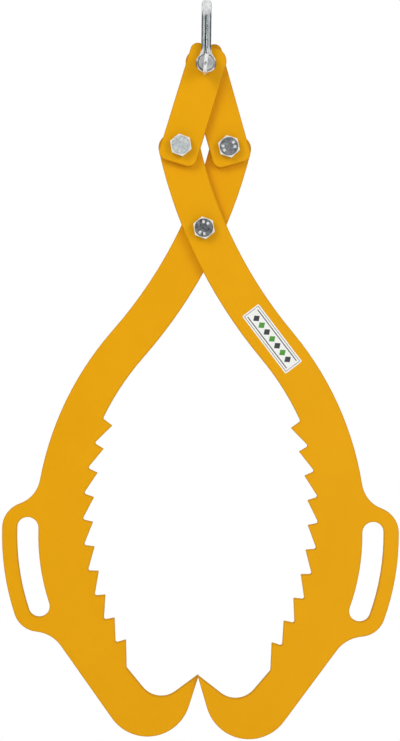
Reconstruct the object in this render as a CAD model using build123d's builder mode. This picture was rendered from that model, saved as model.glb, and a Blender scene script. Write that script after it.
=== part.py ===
from build123d import *
import os
from math import atan2, cos, degrees, radians, sin, sqrt, tan

# Log tongs for a hoist. Two toothed steel arms cross at a centre bolt, and two short links join their
# upper ends to a shackle, so that a pull on the shackle closes the jaws on the log.
#
# Millimetres, +Z up, the log lies along Y. The origin is the underside of the shackle's crown, where a
# hook bears. The plates lie in three layers, counted from the front (-Y):
# 1 left link, 2 front arm and right link, 3 rear arm.

# Plates
plate_thickness = 10.0
layer_gap = 0.3  # running gap between neighbouring layers
plate_edge = 0.6  # rounding of every cut edge

# Linkage: the two links and the two levers are equally long, so the four pivots form a rhombus
pivot_spacing = 103.0
closed_angle = 16.4  # links and levers from the vertical with the jaws shut
pivot_clearance = 0.3  # all round a bolt or pin in its hole

# Links
link_width = 47.0
link_top = 22.4  # from the pin to the upper end
link_outer_corner = 9.2  # upper end, on the side away from the other link
link_inner_corner = 16.7
link_foot = 21.5  # from the bolt to the lower end
link_foot_corner = 10.0

# Arms: a band of two tangent arcs from the lever's end to the jaw
arm_width = 50.0
lever_radius = 571.0  # centreline above and just below the centre pivot
lever_lean = 23.7  # centreline from the vertical at the centre pivot
lever_offset = 1.6  # centreline from the centre pivot, towards the outer edge
lever_end = 18.0  # from the link bolt to the arm's end
lever_corner = 17.0
limb_sweep = 16.9  # of the lever's arc below the pivot
shoulder_radius = 356.0  # centreline of the reverse arc
shoulder_sweep = 45.0

# Teeth, with their tips on a circle
tooth_count = 10
tooth_pitch = 30.16
tooth_tip_radius = 288.0
tooth_depth = 13.0
tooth_lead = 3.0  # from a tip up to the root above it
tooth_tip_round = 1.0
tooth_root_round = 2.2
tooth_reach = 20.7  # from the limb's inner edge to the tips
tooth_level = 21.2  # of the tip circle's centre, above that of the shoulder arc
tooth_row_drop = 157.8  # lowest tip, along the circle from its centre's level

# Hand grip: a slot along an arc, its centre level with that of the shoulder arc
grip_outset = 8.7  # from the limb's outer edge to the middle of the slot
grip_radius = 273.7
grip_slot = 26.2
grip_rim = 18.0
grip_up = 6.2  # upper end of the slot, along the arc from its centre's level
grip_down = 90.8
grip_top_blend = 38.0
grip_bottom_blend = 42.0

# Hook: the rounded tips meet on the centre line
tip_drop = 169.5  # below the shoulder arc's centre
tip_overlap = 1.0  # of the sharp corner, past the centre line
tip_round = 0.8
tip_slope = 37.2  # upper face, below the horizontal
toe_lean = 17.0  # front face, from the vertical
heel_drop = 76.8  # lowest point, below the tip
heel_radius = 53.0
back_lean = 35.9  # outer edge from the heel to the grip, from the vertical
throat_length = 34.2  # from the last tooth to the pocket
throat_lean = 1.9
throat_round = 4.0
pocket_rise = 50.0  # outer side of the pocket, above the horizontal
pocket_radius = 29.0

# Pivot bolts and their self-locking nuts
bolt_diameter = 16.0
hex_width = 24.0  # across flats, heads and nuts
head_height = 10.0
hex_flat = 0.94  # flat end of a hex, as a share of its width
hex_chamfer = 30.0  # degrees
washer_width = 30.0
washer_thickness = 3.0
nut_height = 12.5
nut_collar_height = 3.5
nut_collar_width = 22.0
nut_lip = 1.0
insert_width = 19.0
thread_pitch = 2.0
thread_depth = 1.2
thread_turns = 3  # showing past the nut
head_turn_left = 10.0  # a hex corner from the vertical, to the left
head_turn_right = 13.5
head_turn_centre = 10.5
head_mark_count = 2  # raised marks at each end of a line across the head
head_mark_radius = 7.2  # to the middle of a mark
head_mark_length = 3.6
head_mark_width = 3.0
head_mark_height = 0.4
head_mark_spread = 45.0  # degrees from the first mark of an end to the last
head_mark_turn_left = -32.0  # the line of marks from the vertical, to the left
head_mark_turn_right = -70.0
head_mark_turn_centre = -18.0

# Shackle
bow_bar = 12.0
bow_reach = 68.0  # pin axis to the underside of the crown
jaw_clearance = 1.85  # between the links and each ear
ear_radius = 12.6
ear_seat_width = 21.6  # flat round the pin hole
neck_height = 32.0  # of the forged neck above the pin
neck_blend = 20.0
neck_flat = 0.4  # width of the flat that the neck's rounding leaves
pin_diameter = 12.0
pin_stub = 2.0  # past the rear ear
pin_chamfer = 1.5
collar_width = 17.2
collar_thickness = 4.0
collar_edge = 1.0
eye_radius = 13.0
eye_thickness = 5.0
eye_cover = 0.2  # of the collar left behind the eye's ring
eye_drop = 3.5  # pin axis to the eye's centre
eye_hole = 9.0
eye_edge = 1.5
eye_tilt = 5.7  # from the vertical

# Label
label_length = 87.5
label_width = 25.0
label_thickness = 0.3
label_corner = 1.5
label_distance = 158.0  # along the limb from the centre pivot
label_offset = 0.4  # from the limb's centreline towards its outer edge
label_skew = 1.7  # from the line of the limb, towards the vertical

# Places that follow from the sizes above
pin_z = -bow_reach
link_drop = pivot_spacing * cos(radians(closed_angle))
link_reach = pivot_spacing * sin(radians(closed_angle))
link_pivot_z = pin_z - link_drop
centre_z = link_pivot_z - link_drop
bolt_hole = bolt_diameter + 2 * pivot_clearance
pin_hole = pin_diameter + 2 * pivot_clearance
stack = 2 * plate_thickness + layer_gap
jaw_half = stack / 2 + jaw_clearance
ear_outside = jaw_half + bow_bar
towards_viewer = (0, -1, 0)


def front_face(layer):
    """Y of a layer's front face; layers 1 and 2 lie each side of Y = 0."""
    return layer_gap / 2 + (layer - 2) * (plate_thickness + layer_gap)


def layer_plane(layer, z, x_dir=(1, 0, 0)):
    """Back face of a layer, so that an extrusion ends on the layer's front face."""
    back = front_face(layer) + plate_thickness
    return Plane(origin=(0, back, z), x_dir=x_dir, z_dir=towards_viewer)


def polar(radius, angle):
    return Vector(radius * cos(radians(angle)), radius * sin(radians(angle)))


def meeting_point(start, angle, other, other_angle):
    """Where two lines cross, each given by a point and its direction in degrees."""
    along = polar(1, angle)
    normal = polar(1, other_angle + 90)
    return start + along * ((other - start).dot(normal) / along.dot(normal))


def upper_crossing(centre, radius, other, other_radius):
    """Where two circles cross, on the left of the line from the first centre to the other."""
    across = other - centre
    along = (radius**2 - other_radius**2 + across.length**2) / (2 * across.length)
    aside = sqrt(radius**2 - along**2)
    return centre + across.normalized() * along + across.normalized().rotate(Axis.Z, 90) * aside


def lower_crossing(start, angle, centre, radius):
    """Where a line given by a point and its direction enters a circle."""
    along = polar(1, angle)
    foot = start + along * (centre - start).dot(along)
    return foot - along * sqrt(radius**2 - (centre - foot).length ** 2)


def round_plate_edges(plate):
    faces = plate.faces().filter_by(Axis.Y).group_by(Axis.Y)
    fillet(faces[0].edges() + faces[-1].edges(), plate_edge)


def save(piece, name):
    piece.part.label = name
    export_step(piece.part, f"parts/{name}.step")


os.makedirs("parts", exist_ok=True)

# Arm outline, in a plane with its origin on the centre pivot: the lever goes up to the left and the jaw
# hangs to the right
down_the_limb = Vector(sin(radians(lever_lean)), -cos(radians(lever_lean)))
link_hole = Vector(-link_reach, link_drop)
lever_chord = link_hole.length + lever_end
lever_sweep = degrees(lever_chord / lever_radius)
limb_start = polar(lever_offset, lever_lean)

with BuildLine() as limb:
    lever_arc = JernArc(limb_start, -down_the_limb, lever_radius, -lever_sweep)
    limb_arc = JernArc(limb_start, down_the_limb, lever_radius, limb_sweep)
    shoulder_arc = JernArc(limb_arc @ 1, limb_arc % 1, shoulder_radius, -shoulder_sweep)

shoulder_centre = Vector(shoulder_arc.center_point)
limb_inside = shoulder_radius - arm_width / 2
limb_outside = shoulder_radius + arm_width / 2

# Tips and roots from the top tooth down, spaced up from the lowest one
tooth_centre = shoulder_centre + Vector(limb_inside - tooth_reach - tooth_tip_radius, tooth_level)
tip_heights = [tooth_pitch * above - tooth_row_drop for above in reversed(range(tooth_count))]
tip_angles = [degrees(height / tooth_tip_radius) for height in tip_heights]
root_angles = [degrees((height + tooth_lead) / tooth_tip_radius) for height in tip_heights]
tips = [tooth_centre + polar(tooth_tip_radius, angle) for angle in tip_angles]
roots = [tooth_centre + polar(tooth_tip_radius + tooth_depth, angle) for angle in root_angles]
inside_limb = tips[0] + (roots[0] - tips[0]) * 2

# Middle line of the grip's slot
grip_centre = shoulder_centre + Vector(limb_outside + grip_outset - grip_radius, 0)
grip_half = grip_slot / 2 + grip_rim
grip_turn = degrees((grip_up + grip_down) / grip_radius)
grip_line = CenterArc(grip_centre, grip_radius, degrees(grip_up / grip_radius), -grip_turn)
grip_top = grip_line @ 0
grip_bottom = grip_line @ 1

# Hook from the throat round the pocket, the tip and the heel to the grip
hook_tip = Vector(-tip_overlap, shoulder_centre.Y - tip_drop)
throat = tips[-1] + polar(throat_length, -90 - throat_lean)
pocket = meeting_point(hook_tip, -tip_slope, throat, pocket_rise)
heel_rise = heel_radius - heel_drop
heel_reach = (heel_radius - heel_rise * sin(radians(toe_lean))) / cos(radians(toe_lean))
back_point = hook_tip + Vector(heel_reach, heel_rise) + polar(heel_radius, -back_lean)
heel = meeting_point(hook_tip, toe_lean - 90, back_point, 90 - back_lean)
back_top = meeting_point(back_point, 90 - back_lean, grip_bottom, 0)

# Corners of the jaw with their roundings; the first and last three lie inside the limb and the grip
jaw_corners = [(inside_limb, 0), (tips[0], tooth_tip_round)]
for tip, root in zip(tips[1:], roots[1:]):
    jaw_corners += [(root, tooth_root_round), (tip, tooth_tip_round)]
jaw_corners += [(throat, throat_round), (pocket, pocket_radius), (hook_tip, tip_round), (heel, heel_radius)]
jaw_corners += [(back_top, 0), (grip_top, 0)]

# Inner corners where the jaw's first tooth and the grip meet the limb and the back edge
limb_joints = [
    (roots[0], tooth_root_round),
    (upper_crossing(shoulder_centre, limb_outside, grip_top, grip_half), grip_top_blend),
    (lower_crossing(back_point, 90 - back_lean, grip_bottom, grip_half), grip_bottom_blend),
]

with BuildSketch() as arm_outline:
    trace(limb.line, arm_width)
    fillet(arm_outline.vertices().sort_by_distance(lever_arc @ 1)[:2], lever_corner)
    with BuildLine():
        FilletPolyline([c for c, _ in jaw_corners], radius=[r for _, r in jaw_corners], close=True)
    make_face()
    SlotArc(grip_line, 2 * grip_half)
    for joint, radius in limb_joints:
        fillet(arm_outline.vertices().sort_by_distance(joint)[0], radius)
    SlotArc(grip_line, grip_slot, mode=Mode.SUBTRACT)
    with Locations((0, 0), link_hole):
        Circle(bolt_hole / 2, mode=Mode.SUBTRACT)

# Front arm
with BuildPart() as front_arm:
    with BuildSketch(layer_plane(2, centre_z)):
        add(arm_outline.sketch)
    extrude(amount=plate_thickness)
    round_plate_edges(front_arm)
save(front_arm, "front_arm")

# Rear arm, the same plate turned over
with BuildPart() as rear_arm:
    with BuildSketch(layer_plane(3, centre_z)):
        mirror(arm_outline.sketch, about=Plane.YZ)
    extrude(amount=plate_thickness)
    round_plate_edges(rear_arm)
save(rear_arm, "rear_arm")


# Links, each in a plane with its origin on the shackle pin and X along the link
def make_link(name, layer, side):
    along = (side * link_reach, 0, -link_drop)
    outer = side * link_width / 2
    foot = pivot_spacing + link_foot
    corners = [(-link_top, outer), (-link_top, -outer), (foot, -outer), (foot, outer)]
    radii = [link_outer_corner, link_inner_corner, link_foot_corner, link_foot_corner]
    with BuildPart() as link:
        with BuildSketch(layer_plane(layer, pin_z, along)):
            with BuildLine():
                FilletPolyline(corners, radius=radii, close=True)
            make_face()
            Circle(pin_hole / 2, mode=Mode.SUBTRACT)
            with Locations((pivot_spacing, 0)):
                Circle(bolt_hole / 2, mode=Mode.SUBTRACT)
        extrude(amount=plate_thickness)
        round_plate_edges(link)
    save(link, name)


make_link("left_link", 1, -1)
make_link("right_link", 2, 1)


# Bolts: each set lies on an axis along Y, with the head on the front of its first layer
def facing(x, y, z, turn=0.0):
    """Plane square to a bolt at its Y, facing the back, with X turned from the vertical."""
    return Plane(origin=(x, y, z), x_dir=(-sin(radians(turn)), 0, cos(radians(turn))), z_dir=(0, 1, 0))


def hex_cone(height):
    """Radii of the cone that chamfers the corners of a hex, at its flat end and at its root."""
    end = hex_width / 2 * hex_flat
    return end, end + height / tan(radians(hex_chamfer))


def make_bolt(name, x, z, layer, turn, mark_turn):
    seat = front_face(layer)
    nut_end = stack + layer_gap + washer_thickness + nut_height + nut_collar_height
    crest = bolt_diameter / 2
    end, root_radius = hex_cone(head_height)
    with BuildPart() as bolt:
        with BuildSketch(facing(x, seat - head_height, z, turn)):
            RegularPolygon(hex_width / 2, 6, major_radius=False)
        extrude(amount=head_height)
        with Locations(facing(x, seat - head_height / 2, z)):
            Cone(end, root_radius, head_height, mode=Mode.INTERSECT)
        with BuildSketch(facing(x, seat - head_height, z, mark_turn)):
            for end_angle in (0, 180):
                first = end_angle - head_mark_spread / 2
                with PolarLocations(
                    head_mark_radius, head_mark_count, first, head_mark_spread, endpoint=True
                ):
                    Rectangle(head_mark_length, head_mark_width)
        extrude(amount=-head_mark_height)
        with BuildSketch(facing(x, seat, z)):
            Circle(crest)
        extrude(amount=nut_end)
        with BuildSketch(Plane(origin=(x, seat + nut_end, z), x_dir=(1, 0, 0), z_dir=(0, 0, 1))):
            with BuildLine():
                points = [(0, 0), (crest, 0)]
                for turn_number in range(thread_turns):
                    start = turn_number * thread_pitch
                    points.append((crest - thread_depth, start + thread_pitch / 2))
                    points.append((crest, start + thread_pitch))
                points.append((crest - thread_depth, points[-1][1] + thread_depth))
                points.append((0, points[-1][1]))
                Polyline(points, close=True)
            make_face()
        revolve(axis=Axis((x, 0, z), (0, 1, 0)))
    save(bolt, name)


def make_washer(name, x, z, y):
    with BuildPart() as washer:
        with BuildSketch(facing(x, y, z)):
            Circle(washer_width / 2)
            Circle(bolt_hole / 2, mode=Mode.SUBTRACT)
        extrude(amount=washer_thickness)
    save(washer, name)


def make_nut(name, x, z, y, turn):
    end, root_radius = hex_cone(nut_height)
    with BuildPart() as nut:
        with BuildSketch(facing(x, y, z, turn)):
            RegularPolygon(hex_width / 2, 6, major_radius=False)
        extrude(amount=nut_height)
        with Locations(facing(x, y + nut_height / 2, z)):
            Cone(end, root_radius, nut_height, mode=Mode.INTERSECT)
            Cone(root_radius, end, nut_height, mode=Mode.INTERSECT)
        with BuildSketch(facing(x, y + nut_height, z)):
            Circle(nut_collar_width / 2)
        extrude(amount=nut_collar_height)
        fillet(nut.edges().group_by(Axis.Y)[-1], nut_lip)
        with BuildSketch(facing(x, y + nut_height, z)):
            Circle(insert_width / 2)
        extrude(amount=nut_collar_height, mode=Mode.SUBTRACT)
        with BuildSketch(facing(x, y, z)):
            Circle(bolt_diameter / 2)
        extrude(amount=nut_height, mode=Mode.SUBTRACT)
    save(nut, name)


def make_insert(name, x, z, y):
    with BuildPart() as insert:
        with BuildSketch(facing(x, y, z)):
            Circle(insert_width / 2)
            Circle(bolt_diameter / 2, mode=Mode.SUBTRACT)
        extrude(amount=nut_collar_height - nut_lip)
    save(insert, name)


def make_pivot(name, x, z, layer, turn, mark_turn):
    washer_y = front_face(layer) + stack + layer_gap
    nut_y = washer_y + washer_thickness
    make_bolt(f"{name}_bolt", x, z, layer, turn, mark_turn)
    make_washer(f"{name}_washer", x, z, washer_y)
    make_nut(f"{name}_nut", x, z, nut_y, turn)
    make_insert(f"{name}_nut_insert", x, z, nut_y + nut_height)


make_pivot("left_link", -link_reach, link_pivot_z, 1, head_turn_left, head_mark_turn_left)
make_pivot("right_link", link_reach, link_pivot_z, 2, head_turn_right, head_mark_turn_right)
make_pivot("centre_pivot", 0, centre_z, 2, head_turn_centre, head_mark_turn_centre)

# Shackle bow: a round bar bent over the links, with a forged neck and ear at each end
bar_path_y = jaw_half + bow_bar / 2
blend_right = bow_bar / 2 + neck_blend
blend_up = sqrt((ear_radius + neck_blend) ** 2 - blend_right**2)
blend_turn = degrees(atan2(blend_up, blend_right))
ear_planes = [
    Plane(origin=(0, front, pin_z), x_dir=(1, 0, 0), z_dir=towards_viewer)
    for front in (-ear_outside, jaw_half)
]
with BuildPart() as shackle_bow:
    with BuildSketch(*ear_planes):
        with BuildLine():
            Polyline((0, neck_height), (bow_bar / 2, neck_height), (bow_bar / 2, blend_up))
            CenterArc((blend_right, blend_up), neck_blend, 180, blend_turn)
            CenterArc((0, 0), ear_radius, blend_turn, -90 - blend_turn)
            mirror(about=Plane.YZ)
        make_face()
    extrude(amount=-bow_bar)
    ear_edges = shackle_bow.faces().filter_by(Axis.Y).edges()
    fillet(ear_edges - ear_edges.group_by(Axis.Z)[-1], (bow_bar - neck_flat) / 2)
    with BuildSketch(*ear_planes):
        Circle(ear_seat_width / 2)
    extrude(amount=-bow_bar)
    with BuildLine() as bar_path:
        left_foot = (0, -bar_path_y, pin_z + neck_height - bow_bar)
        left_top = (0, -bar_path_y, -jaw_half)
        right_top = (0, bar_path_y, -jaw_half)
        Line(left_foot, left_top)
        ThreePointArc(left_top, (0, 0, bar_path_y - jaw_half), right_top)
        Line(right_top, (0, bar_path_y, left_foot[2]))
    with BuildSketch(Plane(origin=left_foot, x_dir=(1, 0, 0), z_dir=(0, 0, 1))):
        Circle(bow_bar / 2)
    sweep(path=bar_path.line)
    with Locations(facing(0, 0, pin_z)):
        Cylinder(pin_hole / 2, 2 * ear_outside, mode=Mode.SUBTRACT)
save(shackle_bow, "shackle_bow")

# Shackle pin: collar and eye in front, shank through both ears and both links
collar_back = -ear_outside - pivot_clearance
collar_front = collar_back - collar_thickness
eye_normal = (cos(radians(eye_tilt)), 0, -sin(radians(eye_tilt)))
eye_up = Vector(sin(radians(eye_tilt)), 0, cos(radians(eye_tilt)))
eye_centre = Vector(0, collar_back - eye_cover - eye_radius, pin_z) - eye_up * eye_drop
with BuildPart() as shackle_pin:
    with BuildSketch(facing(0, collar_back, pin_z)):
        Circle(pin_diameter / 2)
    extrude(amount=ear_outside + pin_stub - collar_back)
    chamfer(shackle_pin.edges().group_by(Axis.Y)[-1], pin_chamfer)
    with BuildSketch(facing(0, collar_front, pin_z)):
        Circle(collar_width / 2)
    extrude(amount=collar_thickness)
    fillet(shackle_pin.edges().group_by(Axis.Y)[0], collar_edge)
    with BuildSketch(Plane(origin=eye_centre, x_dir=towards_viewer, z_dir=eye_up)) as eye_section:
        with Locations((eye_hole / 2, 0)):
            Rectangle(eye_radius - eye_hole / 2, eye_thickness, align=(Align.MIN, Align.CENTER))
        fillet(eye_section.vertices().group_by(Axis.X)[-1], eye_edge)
    revolve(axis=Axis(eye_centre, eye_normal))
save(shackle_pin, "shackle_pin")

# Label, stuck on the front of the limb
limb_turn = lever_lean + degrees(label_distance / lever_radius)
label_centre = limb_arc.position_at(label_distance / limb_arc.length) + polar(label_offset, limb_turn)
with BuildPart() as label:
    with BuildSketch(layer_plane(2, centre_z).offset(plate_thickness)):
        with Locations(Location(label_centre, limb_turn - label_skew)):
            RectangleRounded(label_width, label_length, label_corner)
    extrude(amount=label_thickness)
save(label, "label")
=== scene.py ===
from math import radians

import bpy
import numpy as np
from mathutils import Matrix, Vector


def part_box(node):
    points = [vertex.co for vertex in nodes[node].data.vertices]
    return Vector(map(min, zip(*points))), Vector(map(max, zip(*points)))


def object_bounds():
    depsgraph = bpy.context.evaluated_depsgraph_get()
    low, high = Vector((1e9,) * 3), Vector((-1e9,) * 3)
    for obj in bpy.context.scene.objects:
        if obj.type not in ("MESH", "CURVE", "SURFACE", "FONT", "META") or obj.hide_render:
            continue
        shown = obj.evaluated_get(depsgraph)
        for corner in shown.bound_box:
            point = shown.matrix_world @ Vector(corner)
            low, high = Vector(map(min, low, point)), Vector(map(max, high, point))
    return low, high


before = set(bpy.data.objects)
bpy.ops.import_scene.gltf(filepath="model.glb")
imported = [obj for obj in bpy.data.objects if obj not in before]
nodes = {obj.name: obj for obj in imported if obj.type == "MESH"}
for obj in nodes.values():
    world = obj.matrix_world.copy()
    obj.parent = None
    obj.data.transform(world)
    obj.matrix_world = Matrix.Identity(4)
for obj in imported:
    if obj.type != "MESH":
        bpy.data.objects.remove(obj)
cad_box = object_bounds()

# Lengths are in metres, unless a comment says otherwise.

# Camera: square to the plates, with the tongs leaning a little to the right in the picture
IMAGE_WIDTH = 400
IMAGE_HEIGHT = 741
METRES_PER_PIXEL = 0.001213  # at the plates
CENTRE_PIVOT_PIXEL = (203.9, 228.2)
CAMERA_DISTANCE = 2.7
PICTURE_LEAN = radians(0.72)
SENSOR_HEIGHT = 24.0  # millimetres

# Studio: a pale floor under the hanging tongs, which fades to the white background
FLOOR_DROP = 0.1  # below the hook heels
FLOOR_RADIUS = 6.0
FLOOR_CORNERS = 96
FLOOR_FADE_END = 0.6
FLOOR_LEVEL = 0.92
WORLD_LIGHT = 0.36

# Softboxes: place from the picture's centre, width, height, watts
SOFTBOXES = {
    "key": ((-1.6, -2.6, 1.7), 1.6, 1.6, 40),
    "fill": ((1.8, -2.4, 0.9), 1.6, 1.6, 27),
    "back": ((0.4, 2.4, 1.6), 2.0, 1.4, 45),
}

# Cards that only reflections see: place from the picture's centre, width, height, brightness
CARDS = {
    "front_card": ((0, -3.4, 0), 4.6, 3.0, 0.05),
    "front_strip": ((0.7, -3.2, 0), 0.5, 2.4, 3.0),
    "left_card": ((-2.2, 0.9, 0), 1.6, 2.4, 0.05),
    "right_card": ((2.2, 0.9, 0), 1.6, 2.4, 0.05),
    "back_card": ((0, 3.4, 0), 4.6, 3.0, 0.1),
}

# Paint: the width of the painted shade, a brown line along the plates' edges
EDGE_SHADE_WIDTH = 0.0022
EDGE_SAMPLES = 8

# Bolt heads
HEAD_MARK_HEIGHT = 0.0004  # of the raised marks on the face

# Shackle: the places with a painted highlight, paler on the crown and the ears, and the pin's eye in front of
# its collar
CROWN_DEPTH = 0.018
EAR_HEIGHT = 0.026
HIGHLIGHT_FADE = 0.008
EYE_REACH = 0.022

# Label print
LABEL_BORDER_INSET = 0.0021
LABEL_BORDER_WIDTH = 0.0006
LABEL_RULE_LENGTH = 0.078
LABEL_RULE_OFFSET = 0.0075
LABEL_RULE_WIDTH = 0.0012
LOZENGE_COUNT = 7
LOZENGE_PITCH = 0.0104
LOZENGE_HALF_LENGTH = 0.0043
LOZENGE_HALF_WIDTH = 0.0050

# Most of a noise texture's values lie between these
NOISE_LOW = 0.3
NOISE_HIGH = 0.7


def grey(level):
    return (level, level, level, 1.0)


def srgb(red, green, blue):
    """A colour given as on a screen, 0 to 255, in the linear values that a shader takes."""
    shares = [channel / 255 for channel in (red, green, blue)]
    return tuple(s / 12.92 if s <= 0.04045 else ((s + 0.055) / 1.055) ** 2.4 for s in shares) + (1.0,)


# Colours; a pair holds the two ends of a mottle or cloud
PAINT = (srgb(230, 162, 0), srgb(238, 169, 2))
# The two darker yellows below are painted shade, for the rounded edges and the cut sides of the plates.
PAINT_EDGE_SHADE = srgb(190, 136, 8)
PAINT_SIDE_SHADE = srgb(212, 146, 2)
ZINC = (grey(0.40), grey(0.56))
ZINC_CHAMFER_HIGHLIGHT = (srgb(228, 227, 214), srgb(242, 241, 230))
ZINC_MARK_HIGHLIGHT = srgb(226, 228, 226)
GALVANISING = (srgb(158, 163, 167), srgb(186, 191, 194))
BOW_PAINTED_HIGHLIGHT = (srgb(194, 197, 199), srgb(232, 233, 233))
DULL_PIN = (srgb(192, 195, 197), srgb(214, 217, 218))
EYE_RIM_HIGHLIGHT = (srgb(224, 226, 227), srgb(240, 241, 241))
NYLON = (srgb(206, 212, 214), srgb(226, 230, 228))
FILM = (srgb(240, 240, 236), srgb(248, 248, 245))
DARK_INK = srgb(58, 60, 62)
GREEN_INK = srgb(78, 150, 52)

# Each pivot's bolt face: the two ends of its clouds, and how metallic it is; the tones are painted
# reflection, lighter or darker per bolt for what each face mirrors.
BOLT_FACE_REFLECTIONS = {
    "left_link": (srgb(194, 203, 205), srgb(222, 227, 227), 0.5),
    "right_link": (srgb(136, 140, 144), srgb(178, 182, 186), 1.0),
    "centre_pivot": (srgb(110, 114, 122), srgb(168, 170, 172), 1.0),
}


class Shader:
    """A material with a Principled surface and short calls for the nodes that feed it."""

    def __init__(self, name):
        self.material = bpy.data.materials.new(name)
        self.material.use_nodes = True
        self.tree = self.material.node_tree
        self.surface = self.tree.nodes["Principled BSDF"]
        coordinates = self.add("ShaderNodeTexCoord")
        self.place = coordinates.outputs["Object"]
        self.normal = coordinates.outputs["Normal"]

    def add(self, kind, **settings):
        node = self.tree.nodes.new(kind)
        for setting, value in settings.items():
            setattr(node, setting, value)
        return node

    def feed(self, socket, value):
        if isinstance(value, bpy.types.NodeSocket):
            self.tree.links.new(value, socket)
        else:
            socket.default_value = value

    def set(self, **values):
        """Feeds the surface: a socket's name with _ for each space, and a value or a node's output."""
        for name, value in values.items():
            self.feed(self.surface.inputs[name.replace("_", " ")], value)

    def math(self, operation, first, second=0.0):
        node = self.add("ShaderNodeMath", operation=operation)
        self.feed(node.inputs[0], first)
        self.feed(node.inputs[1], second)
        return node.outputs[0]

    def vector_math(self, operation, output, first, second=(0, 0, 0)):
        node = self.add("ShaderNodeVectorMath", operation=operation)
        self.feed(node.inputs[0], first)
        self.feed(node.inputs[1], second)
        return node.outputs[output]

    def range(self, value, low, high, new_low=0.0, new_high=1.0, smooth=False):
        node = self.add("ShaderNodeMapRange", interpolation_type="SMOOTHSTEP" if smooth else "LINEAR")
        for socket, given in zip(node.inputs, (value, low, high, new_low, new_high)):
            self.feed(socket, given)
        return node.outputs[0]

    def mix(self, share, first, second):
        node = self.add("ShaderNodeMix", data_type="RGBA")
        self.feed(node.inputs["Factor"], share)
        self.feed(node.inputs["A"], first)
        self.feed(node.inputs["B"], second)
        return node.outputs["Result"]

    def split(self, vector):
        node = self.add("ShaderNodeSeparateXYZ")
        self.feed(node.inputs[0], vector)
        return node.outputs

    def stretch(self, scale):
        node = self.add("ShaderNodeMapping")
        self.feed(node.inputs["Vector"], self.place)
        node.inputs["Scale"].default_value = scale
        return node.outputs[0]

    def noise(self, size, detail=2.0, place=None):
        """Noise from 0 to 1 with features of the given size."""
        node = self.add("ShaderNodeTexNoise")
        self.feed(node.inputs["Vector"], place or self.place)
        node.inputs["Scale"].default_value = 1 / size
        node.inputs["Detail"].default_value = detail
        return node.outputs["Fac"]

    def edges(self, width):
        """0 on a flat or gently curved stretch, rising within the given width of a sharp edge."""
        rounded = self.add("ShaderNodeBevel", samples=EDGE_SAMPLES)
        rounded.inputs["Radius"].default_value = width
        true_normal = self.add("ShaderNodeNewGeometry").outputs["Normal"]
        likeness = self.vector_math("DOT_PRODUCT", "Value", rounded.outputs[0], true_normal)
        return self.math("SUBTRACT", 1.0, likeness)

    def rough(self, size, low, high, detail=2.0):
        """Roughness between two values, in patches of the given size."""
        self.set(Roughness=self.range(self.noise(size, detail), NOISE_LOW, NOISE_HIGH, low, high))

    def bump(self, height, depth):
        """Raises the surface by a height from 0 to 1 times the depth."""
        node = self.add("ShaderNodeBump")
        self.feed(node.inputs["Height"], height)
        node.inputs["Distance"].default_value = depth
        self.feed(self.surface.inputs["Normal"], node.outputs[0])


# Materials
def yellow_paint():
    """Powder coat: an even yellow with a slight orange peel, and painted shade: a brown line along the
    rounded edges and a darker yellow on the cut sides.
    """
    paint = Shader("yellow_paint")
    body = paint.mix(paint.noise(0.07, detail=3), *PAINT)
    facing = paint.math("ABSOLUTE", paint.split(paint.normal)["Y"])
    side = paint.range(facing, 0.3, 0.1)
    flat = paint.range(facing, 0.7, 0.95)
    # Painted shade: a brown line within the rounded edges of the front and back faces, and a darker yellow on
    # the cut sides.
    edge_shade = paint.range(paint.edges(EDGE_SHADE_WIDTH), 0.0, 0.05)
    edge_shaded_coat = paint.mix(paint.math("MULTIPLY", edge_shade, flat), body, PAINT_EDGE_SHADE)
    paint.set(Base_Color=paint.mix(side, edge_shaded_coat, PAINT_SIDE_SHADE))
    peel = paint.noise(0.0016, detail=1)
    cut = paint.noise(0.0011, place=paint.stretch((1, 0.08, 1)))
    paint.bump(paint.math("ADD", peel, paint.math("MULTIPLY", cut, side)), 0.00006)
    paint.rough(0.02, 0.36, 0.46)
    paint.set(Specular_IOR_Level=0.12)
    return paint.material


def zinc_steel():
    """Zinc plated nut or washer, with the faint cloudiness of the plating."""
    zinc = Shader("zinc_plating")
    zinc.set(Base_Color=zinc.mix(zinc.noise(0.006, detail=4), *ZINC))
    zinc.rough(0.0025, 0.24, 0.38, detail=3)
    zinc.bump(zinc.noise(0.0018), 0.00008)
    zinc.set(Metallic=1.0)
    return zinc.material


def zinc_bolt(node, dark, light, shine):
    """Zinc plated bolt: a clouded face whose tone per bolt is painted reflection, a painted highlight on the
    chamfer, and raised marks painted pale as a highlight.
    """
    zinc = Shader(f"{node}_zinc")
    cloud = zinc.range(zinc.noise(0.005, detail=5), 0.35, 0.65, smooth=True)
    facing = zinc.split(zinc.normal)["Y"]
    chamfer = zinc.range(facing, -0.1, -0.3)
    front = zinc.range(facing, -0.93, -0.98)
    mark_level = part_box(node)[0].y + HEAD_MARK_HEIGHT / 2
    mark = zinc.math("LESS_THAN", zinc.split(zinc.place)["Y"], mark_level)
    plain = zinc.mix(cloud, *ZINC)
    # Painted highlight: the chamfer is paler than the rest of the head.
    painted_highlight = zinc.mix(zinc.noise(0.004), *ZINC_CHAMFER_HIGHLIGHT)
    # Painted reflection: each bolt's face takes its own tone, given per pivot.
    face_reflection = zinc.mix(cloud, dark, light)
    skin = zinc.mix(front, zinc.mix(chamfer, plain, painted_highlight), face_reflection)
    # Painted highlight: the raised marks are pale.
    zinc.set(Base_Color=zinc.mix(mark, skin, ZINC_MARK_HIGHLIGHT))
    zinc.set(Metallic=zinc.range(mark, 0, 1, shine, 0.2))
    zinc.rough(0.0025, 0.26, 0.36, detail=3)
    zinc.bump(zinc.noise(0.0014, detail=3), 0.00008)
    return zinc.material


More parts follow.
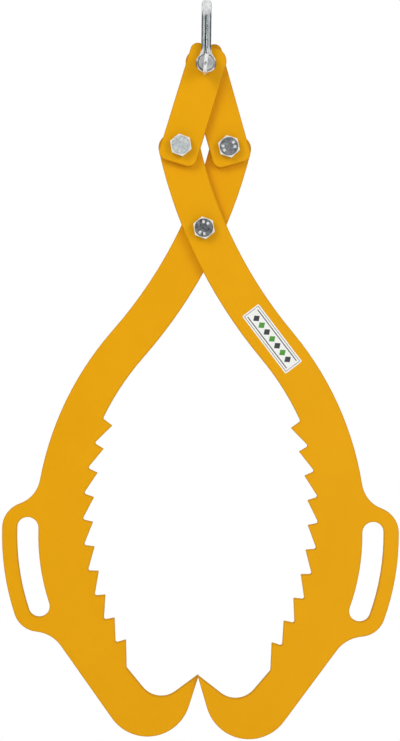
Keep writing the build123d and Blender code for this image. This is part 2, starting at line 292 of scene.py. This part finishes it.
def galvanised_skin(name):
    """Galvanised forging: soft clouds of a few millimetres, from 0 to 1, on a slightly uneven skin."""
    steel = Shader(name)
    steel.bump(steel.noise(0.003, detail=3), 0.00005)
    return steel, steel.range(steel.noise(0.005, detail=4), NOISE_LOW, NOISE_HIGH, smooth=True)


def galvanised_bow(node):
    """Shackle bow, with a painted highlight that makes the crown and the ears paler."""
    steel, cloud = galvanised_skin("bow_galvanising")
    low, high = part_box(node)
    height = steel.split(steel.place)["Z"]
    # Painted highlight: the crown and the ears are paler than the legs.
    crown = steel.range(height, high.z - CROWN_DEPTH - HIGHLIGHT_FADE, high.z - CROWN_DEPTH, smooth=True)
    ears = steel.range(height, low.z + EAR_HEIGHT + HIGHLIGHT_FADE, low.z + EAR_HEIGHT, smooth=True)
    highlit = steel.math("MAXIMUM", crown, ears)
    plain = steel.mix(cloud, *GALVANISING)
    highlit_tone = steel.mix(cloud, *BOW_PAINTED_HIGHLIGHT)
    steel.set(Base_Color=steel.mix(highlit, plain, highlit_tone))
    steel.set(Roughness=steel.range(highlit, 0, 1, 0.2, 0.26))
    steel.set(Metallic=1.0)
    return steel.material


def galvanised_pin(node):
    """Shackle pin: dull on the collar and the shank, with a painted highlight round the rim of the eye."""
    steel, cloud = galvanised_skin("pin_galvanising")
    eye_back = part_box(node)[0].y + EYE_REACH
    eye = steel.math("LESS_THAN", steel.split(steel.place)["Y"], eye_back)
    rim = steel.range(steel.math("ABSOLUTE", steel.split(steel.normal)["X"]), 0.95, 0.8)
    dull = steel.mix(cloud, *DULL_PIN)
    plain = steel.mix(cloud, *GALVANISING)
    # Painted highlight: the rim of the eye is paler than its flat sides.
    painted_highlight = steel.mix(cloud, *EYE_RIM_HIGHLIGHT)
    steel.set(Base_Color=steel.mix(eye, dull, steel.mix(rim, plain, painted_highlight)))
    steel.set(Metallic=steel.range(eye, 0, 1, 0.25, 0.75))
    steel.set(Roughness=steel.range(eye, 0, 1, 0.36, 0.22))
    return steel.material


def nylon():
    """Locking ring of a nut: milky nylon."""
    ring = Shader("nylon")
    ring.set(Base_Color=ring.mix(ring.noise(0.002), *NYLON))
    ring.rough(0.0008, 0.38, 0.5)
    ring.bump(ring.noise(0.0006), 0.00003)
    return ring.material


def label_film(node):
    """White film with a thin border and a row of dark and green lozenges between two dark rules."""
    points = np.array([vertex.co for vertex in nodes[node].data.vertices])
    centre = points.mean(axis=0)
    along = Vector(np.linalg.eigh(np.cov((points - centre).T))[1][:, -1])
    across = Vector((0, 1, 0)).cross(along)
    length = np.ptp(points @ along)
    width = np.ptp(points @ across)

    film = Shader("label_film")
    from_centre = film.vector_math("SUBTRACT", "Vector", film.place, centre)

    def distance(direction):
        return film.math("ABSOLUTE", film.vector_math("DOT_PRODUCT", "Value", from_centre, direction))

    def within(value, middle, width):
        return film.math("LESS_THAN", film.math("ABSOLUTE", film.math("SUBTRACT", value, middle)), width / 2)

    u = distance(along)
    v = distance(across)
    rim = film.math(
        "MINIMUM",
        film.math("SUBTRACT", length / 2, u),
        film.math("SUBTRACT", width / 2, v),
    )
    border = within(rim, LABEL_BORDER_INSET, LABEL_BORDER_WIDTH)
    ruled = film.math("LESS_THAN", u, LABEL_RULE_LENGTH / 2)
    rule = film.math("MULTIPLY", ruled, within(v, LABEL_RULE_OFFSET, LABEL_RULE_WIDTH))
    step = film.math("PINGPONG", u, LOZENGE_PITCH / 2)
    slant = film.math(
        "ADD",
        film.math("DIVIDE", step, LOZENGE_HALF_LENGTH),
        film.math("DIVIDE", v, LOZENGE_HALF_WIDTH),
    )
    in_row = film.math("LESS_THAN", u, LOZENGE_COUNT * LOZENGE_PITCH / 2)
    lozenge = film.math("MULTIPLY", in_row, film.math("LESS_THAN", slant, 1.0))
    number = film.math("ROUND", film.math("DIVIDE", u, LOZENGE_PITCH))
    odd = film.math("MODULO", number, 2.0)

    white = film.mix(film.noise(0.02), *FILM)
    print_on_white = film.mix(lozenge, white, film.mix(odd, GREEN_INK, DARK_INK))
    film.set(Base_Color=film.mix(film.math("MAXIMUM", border, rule), print_on_white, DARK_INK))
    film.bump(film.noise(0.012), 0.00004)
    film.rough(0.006, 0.28, 0.36)
    return film.material


def dress(material, *names):
    for name in names:
        for slot in nodes[name].material_slots:
            slot.material = material


dress(yellow_paint(), "front_arm", "rear_arm", "left_link", "right_link")
dress(galvanised_bow("shackle_bow"), "shackle_bow")
dress(galvanised_pin("shackle_pin"), "shackle_pin")
zinc = zinc_steel()
ring = nylon()
for pivot, face_reflection in BOLT_FACE_REFLECTIONS.items():
    bolt = f"{pivot}_bolt"
    dress(zinc_bolt(bolt, *face_reflection), bolt)
    dress(zinc, f"{pivot}_washer", f"{pivot}_nut")
    dress(ring, f"{pivot}_nut_insert")
dress(label_film("label"), "label")


# Studio
def background_share(tree):
    """1 for the rays that see the background: from the camera, or by way of a reflection or glass."""
    path = tree.nodes.new("ShaderNodeLightPath")
    share = path.outputs["Is Camera Ray"]
    for name in ("Is Glossy Ray", "Is Transmission Ray"):
        either = tree.nodes.new("ShaderNodeMath")
        either.operation = "MAXIMUM"
        tree.links.new(share, either.inputs[0])
        tree.links.new(path.outputs[name], either.inputs[1])
        share = either.outputs[0]
    return share


def white_world():
    """White where the camera or a reflection sees it, and a plain soft light on the tongs."""
    world = bpy.data.worlds.new("studio")
    world.use_nodes = True
    tree = world.node_tree
    background = tree.nodes["Background"]
    background.inputs["Color"].default_value = grey(1.0)
    strength = tree.nodes.new("ShaderNodeMapRange")
    strength.inputs["To Min"].default_value = WORLD_LIGHT
    strength.inputs["To Max"].default_value = 1.0
    tree.links.new(background_share(tree), strength.inputs["Value"])
    tree.links.new(strength.outputs[0], background.inputs["Strength"])
    bpy.context.scene.world = world


def pale_floor(height):
    """A round floor that takes the shadow under the tongs and turns into the white background further out."""
    bpy.ops.mesh.primitive_circle_add(
        radius=FLOOR_RADIUS, vertices=FLOOR_CORNERS, fill_type="NGON", location=(0, 0, height)
    )
    floor = bpy.context.object
    floor.name = "floor"
    pale = Shader("pale_floor")
    pale.set(Base_Color=grey(FLOOR_LEVEL), Roughness=0.9, Specular_IOR_Level=0.1)
    distance = pale.vector_math("LENGTH", "Value", pale.place)
    far = pale.range(distance, 0.0, FLOOR_FADE_END, smooth=True)
    white = pale.add("ShaderNodeEmission")
    fade = pale.add("ShaderNodeMixShader")
    pale.feed(fade.inputs[0], pale.math("MULTIPLY", far, background_share(pale.tree)))
    pale.feed(fade.inputs[1], pale.surface.outputs[0])
    pale.feed(fade.inputs[2], white.outputs[0])
    pale.feed(pale.tree.nodes["Material Output"].inputs["Surface"], fade.outputs[0])
    floor.data.materials.append(pale.material)


def aim(thing, place, target, up=(0, 0, 1)):
    """Puts a camera, lamp or card at a place, looking along its -Z at the target."""
    back = (Vector(place) - Vector(target)).normalized()
    right = Vector(up).cross(back).normalized()
    turn = Matrix((right, back.cross(right), back)).transposed().to_4x4()
    thing.matrix_world = Matrix.Translation(place) @ turn


def photo_camera():
    """Puts the centre pivot on its pixel, and returns the point of the plates at the picture's centre."""
    low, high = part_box("centre_pivot_bolt")
    pivot = (low + high) / 2
    lean = Matrix.Rotation(-PICTURE_LEAN, 3, "Y")
    right = lean @ Vector((1, 0, 0))
    up = lean @ Vector((0, 0, 1))
    pixels_right = IMAGE_WIDTH / 2 - CENTRE_PIVOT_PIXEL[0]
    pixels_up = CENTRE_PIVOT_PIXEL[1] - IMAGE_HEIGHT / 2
    centre = Vector((pivot.x, 0, pivot.z)) + (right * pixels_right + up * pixels_up) * METRES_PER_PIXEL

    camera = bpy.data.cameras.new("camera")
    camera.sensor_fit = "VERTICAL"
    camera.sensor_height = SENSOR_HEIGHT
    camera.lens = SENSOR_HEIGHT * CAMERA_DISTANCE / (METRES_PER_PIXEL * IMAGE_HEIGHT)
    holder = bpy.data.objects.new("camera", camera)
    bpy.context.scene.collection.objects.link(holder)
    aim(holder, centre - Vector((0, CAMERA_DISTANCE, 0)), centre, up)
    bpy.context.scene.camera = holder
    return centre


def softbox(name, place, target, width, height, power):
    """A lamp that lights the tongs but doesn't show in the metal, where the cards do."""
    lamp = bpy.data.lights.new(name, "AREA")
    lamp.shape = "RECTANGLE"
    lamp.size = width
    lamp.size_y = height
    lamp.energy = power
    holder = bpy.data.objects.new(name, lamp)
    bpy.context.scene.collection.objects.link(holder)
    holder.visible_glossy = False
    aim(holder, place, target)


def card(name, place, target, width, height, level):
    """A card that only reflections see, so that metal and gloss have something dark or bright to show."""
    bpy.ops.mesh.primitive_plane_add(size=1)
    sheet = bpy.context.object
    sheet.name = name
    sheet.data.transform(Matrix.Diagonal((width, height, 1, 1)))
    aim(sheet, place, target)
    sheet.visible_camera = False
    sheet.visible_diffuse = False
    sheet.visible_shadow = False
    tone = Shader(name)
    tone.set(Base_Color=grey(0.0), Roughness=1.0, Specular_IOR_Level=0.0)
    tone.set(Emission_Color=grey(1.0), Emission_Strength=level)
    sheet.data.materials.append(tone.material)


middle = photo_camera()
white_world()
pale_floor(cad_box[0][2] - FLOOR_DROP)
for name, (offset, width, height, power) in SOFTBOXES.items():
    softbox(name, middle + Vector(offset), middle, width, height, power)
for name, (offset, width, height, level) in CARDS.items():
    card(name, middle + Vector(offset), middle, width, height, level)
bpy.context.scene.view_settings.view_transform = "Standard"
